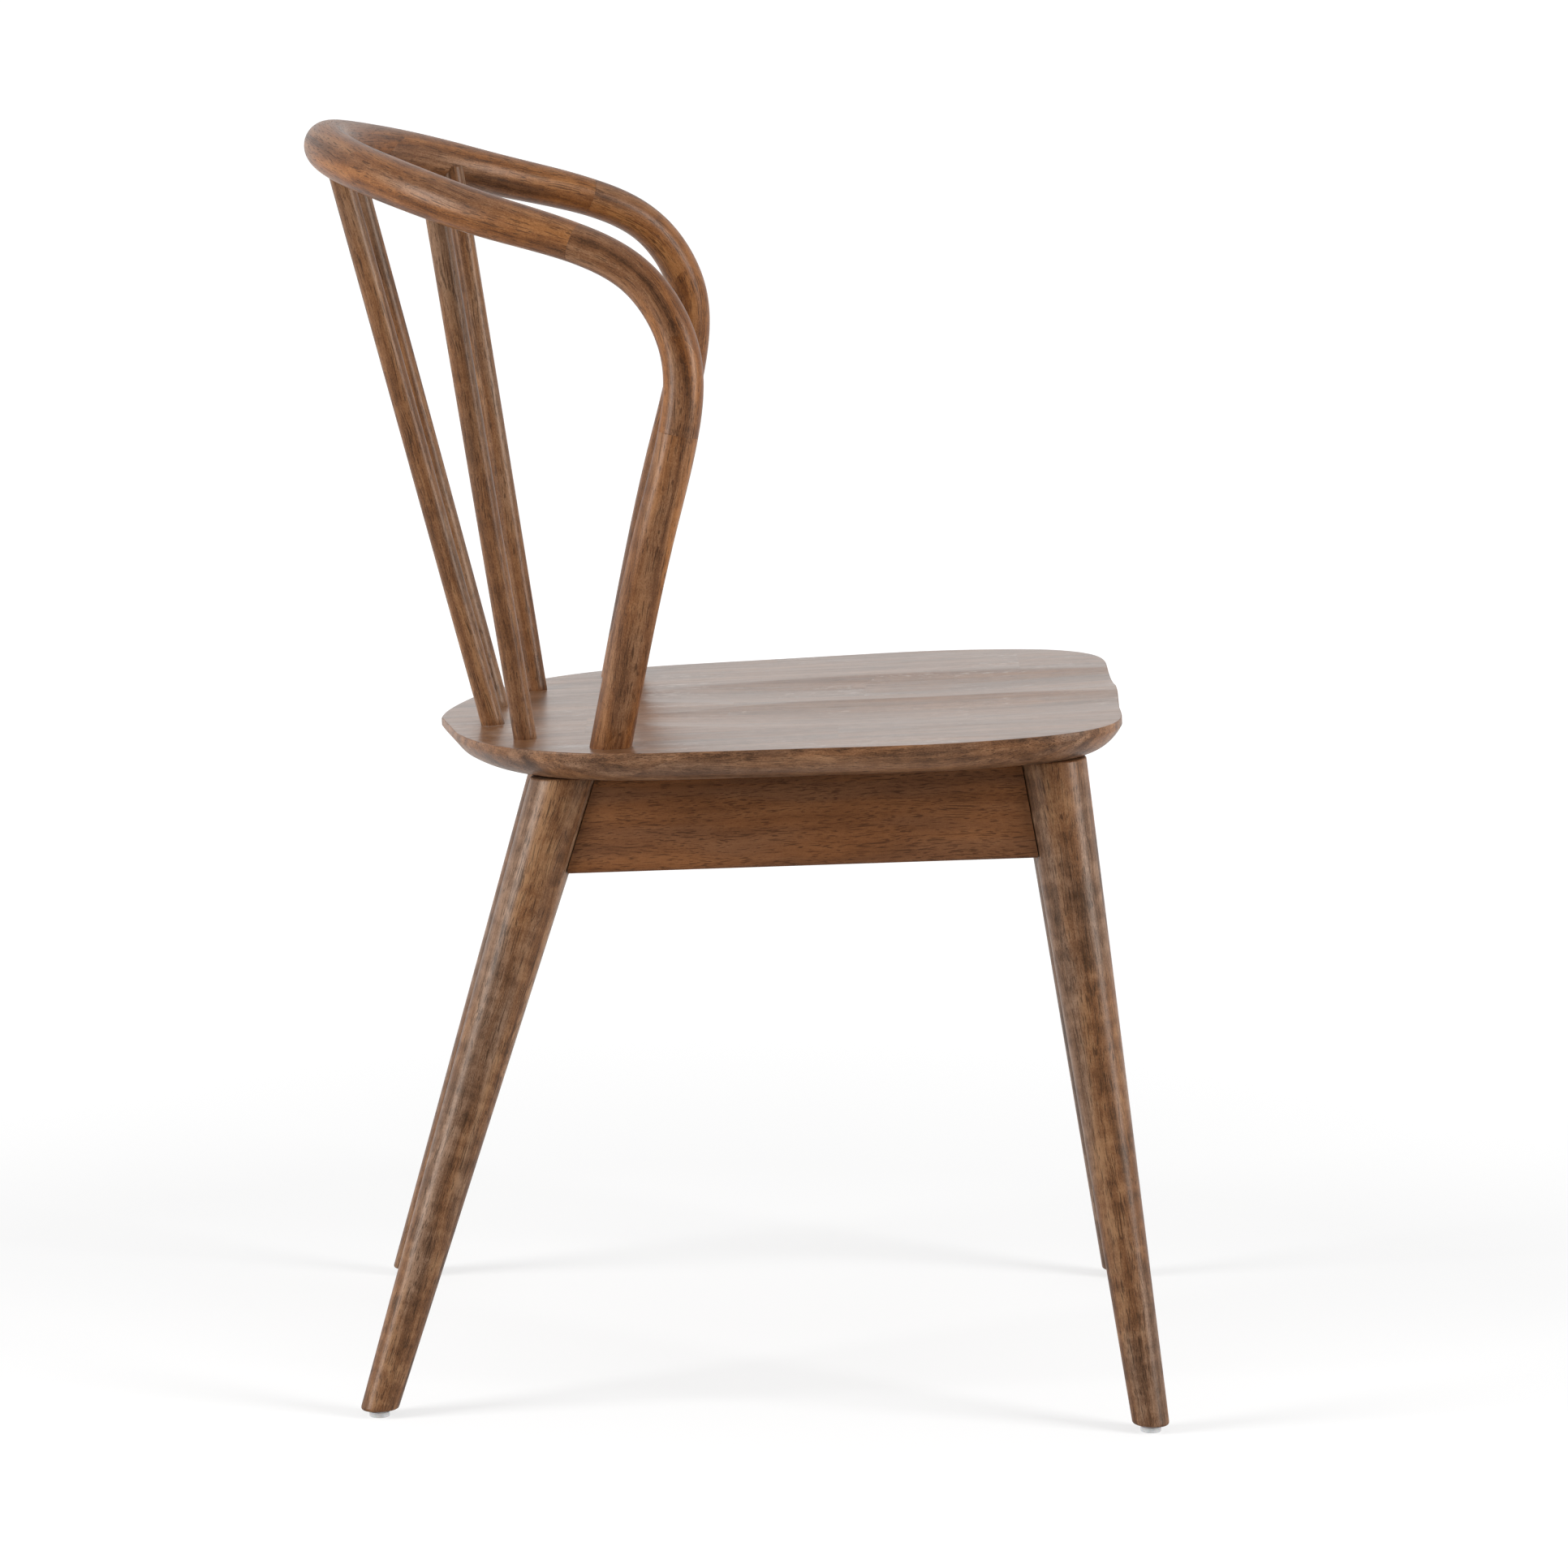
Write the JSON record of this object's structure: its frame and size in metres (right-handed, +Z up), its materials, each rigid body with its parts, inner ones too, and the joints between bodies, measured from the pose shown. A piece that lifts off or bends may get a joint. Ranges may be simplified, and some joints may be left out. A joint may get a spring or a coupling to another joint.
{
  "type": "hoop-back dining chair",
  "caption": "Wooden dining chair with a bent hoop back, upright spindles, a saddled seat with a bevelled edge, splayed round tapered legs and side aprons.",
  "frame": {"origin": "on the floor, under the middle of the bounding box", "axes": "+Z up, -Y is the way the chair faces, +X is the sitter's left; the chair is symmetric across X = 0"},
  "size_m": [0.4774, 0.5681, 0.8157],
  "materials": {
    "seat_wood": "satin stained walnut tone, paler on the seat's top",
    "frame_wood": "satin stained walnut tone",
    "dowel_wood": "plain",
    "glide_nylon": "smooth white nylon",
    "screw_steel": "zinc plated",
    "nail_steel": "bright"
  },
  "bodies": {
    "root": {"seat": "seat_wood", "leg_front_left": "frame_wood", "leg_front_right": "frame_wood", "leg_rear_left": "frame_wood", "leg_rear_right": "frame_wood", "apron_left": "frame_wood", "apron_right": "frame_wood", "apron_front": "frame_wood", "apron_rear": "frame_wood", "corner_block_front_left": "frame_wood", "corner_block_front_right": "frame_wood", "corner_block_rear_left": "frame_wood", "corner_block_rear_right": "frame_wood", "seat_screw_front_left": "screw_steel", "seat_screw_front_right": "screw_steel", "seat_screw_rear_left": "screw_steel", "seat_screw_rear_right": "screw_steel", "hoop_post_left": "frame_wood", "hoop_post_right": "frame_wood", "hoop_arm_left": "frame_wood", "hoop_arm_right": "frame_wood", "hoop_crest": "frame_wood", "hoop_dowel_post_left": "dowel_wood", "hoop_dowel_post_right": "dowel_wood", "hoop_dowel_crest_left": "dowel_wood", "hoop_dowel_crest_right": "dowel_wood", "spindle_inner_left": "frame_wood", "spindle_inner_right": "frame_wood", "spindle_outer_left": "frame_wood", "spindle_outer_right": "frame_wood", "glide_front_left": "glide_nylon", "glide_front_right": "glide_nylon", "glide_rear_left": "glide_nylon", "glide_rear_right": "glide_nylon", "glide_nail_front_left": "nail_steel", "glide_nail_front_right": "nail_steel", "glide_nail_rear_left": "nail_steel", "glide_nail_rear_right": "nail_steel"}
  },
  "joints": []
}
